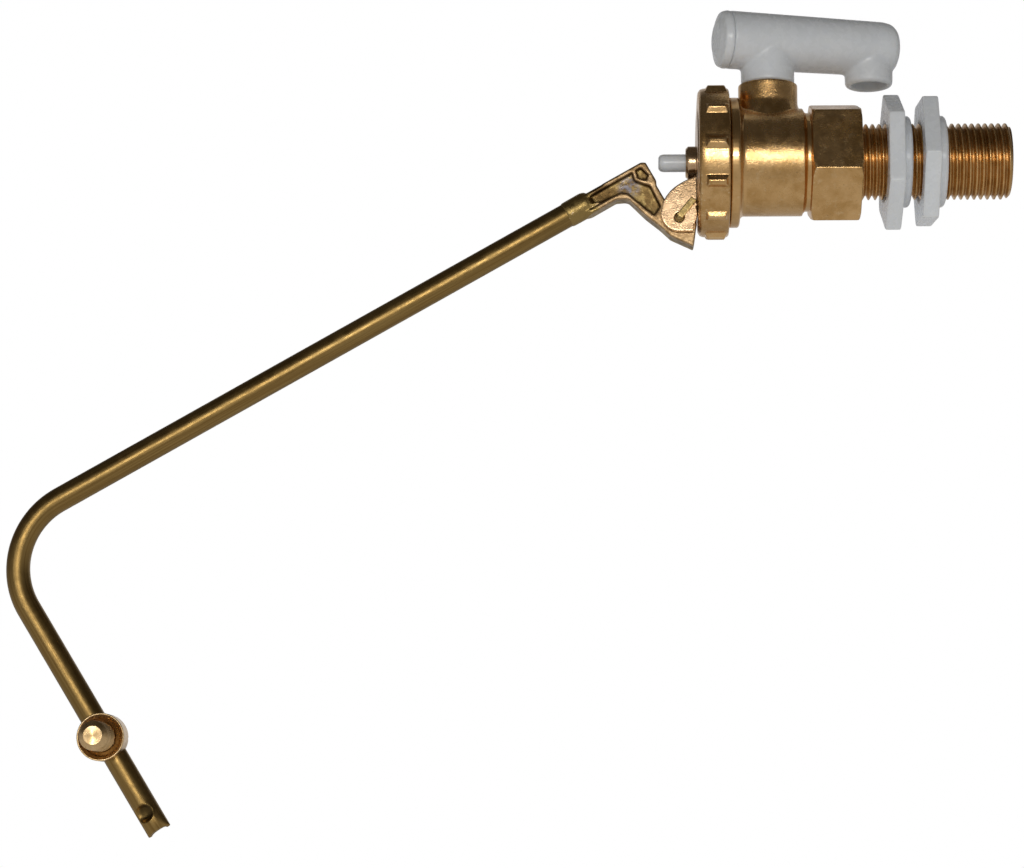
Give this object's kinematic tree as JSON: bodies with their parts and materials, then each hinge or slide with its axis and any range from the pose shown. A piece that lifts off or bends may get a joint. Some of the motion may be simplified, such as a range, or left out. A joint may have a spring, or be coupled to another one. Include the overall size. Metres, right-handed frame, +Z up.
{
  "type": "float valve",
  "caption": "Half-inch brass diaphragm float valve with ribbed cap nut, nylon overhead spout, flanged nylon backnuts and a bent arm with a sliding float clamp",
  "frame": {"origin": "centre of the end face of the threaded inlet tail, on the valve axis", "axes": "+X out of the inlet tail along the valve axis, +Z up along the outlet boss, +Y away from the side that shows the float stud"},
  "size_m": [0.2752, 0.0436, 0.2279],
  "materials": {
    "forged_brass": "hot-stamped brass with a fine blasted grain and machined bands",
    "stained_brass": "hot-stamped brass with brown and blue-grey heat stains",
    "drawn_brass": "drawn brass with lengthwise streaks, slightly dulled",
    "turned_brass": "bright turned brass with fine rings",
    "white_nylon": "natural white nylon, slightly milky, soft sheen",
    "black_rubber": "matt moulded rubber"
  },
  "bodies": {
    "valve": {"valve_body": "forged_brass", "seat_nozzle": "white_nylon", "seat_o_ring": "black_rubber", "diaphragm": "black_rubber", "backplate": "forged_brass", "cap_nut": "forged_brass", "split_pin": "drawn_brass"},
    "plunger": {"plunger": "white_nylon"},
    "arm": {"lever": "stained_brass", "arm_tube": "drawn_brass"},
    "float_clamp": {"clamp_saddle": "turned_brass", "eye_stud": "turned_brass"},
    "spout": {"spout": "white_nylon", "spout_plug": "white_nylon", "spout_o_ring": "black_rubber"},
    "inner_nut": {"inner_backnut": "white_nylon"},
    "outer_nut": {"outer_backnut": "white_nylon"}
  },
  "joints": [
    {"name": "arm_pivot", "type": "hinge", "parent": "valve", "child": "arm", "pos_m": [-0.0909, 0, -0.0165], "axis": [0, 1, 0], "range_deg": [0, 16.5]},
    {"name": "plunger_slide", "type": "slide", "parent": "valve", "child": "plunger", "axis": [1, 0, 0], "range_m": [0, 0.0024], "deforming": ["diaphragm"]},
    {"name": "clamp_slide", "type": "slide", "parent": "arm", "child": "float_clamp", "axis": [0.527, 0, -0.8499], "range_m": [-0.033, 0.0135]},
    {"name": "spout_swivel", "type": "hinge", "parent": "valve", "child": "spout", "pos_m": [-0.0661, 0, 0.0218], "axis": [0, 0, 1], "continuous": true},
    {"name": "inner_nut_run", "type": "slide", "parent": "valve", "child": "inner_nut", "axis": [1, 0, 0], "range_m": [-0.0064, 0]},
    {"name": "outer_nut_run", "type": "slide", "parent": "valve", "child": "outer_nut", "axis": [1, 0, 0], "range_m": [0, 0.0165]}
  ],
  "couplings": [
    {"joint": "plunger_slide", "follows": "arm_pivot", "m_per_rad": 0.00832}
  ]
}
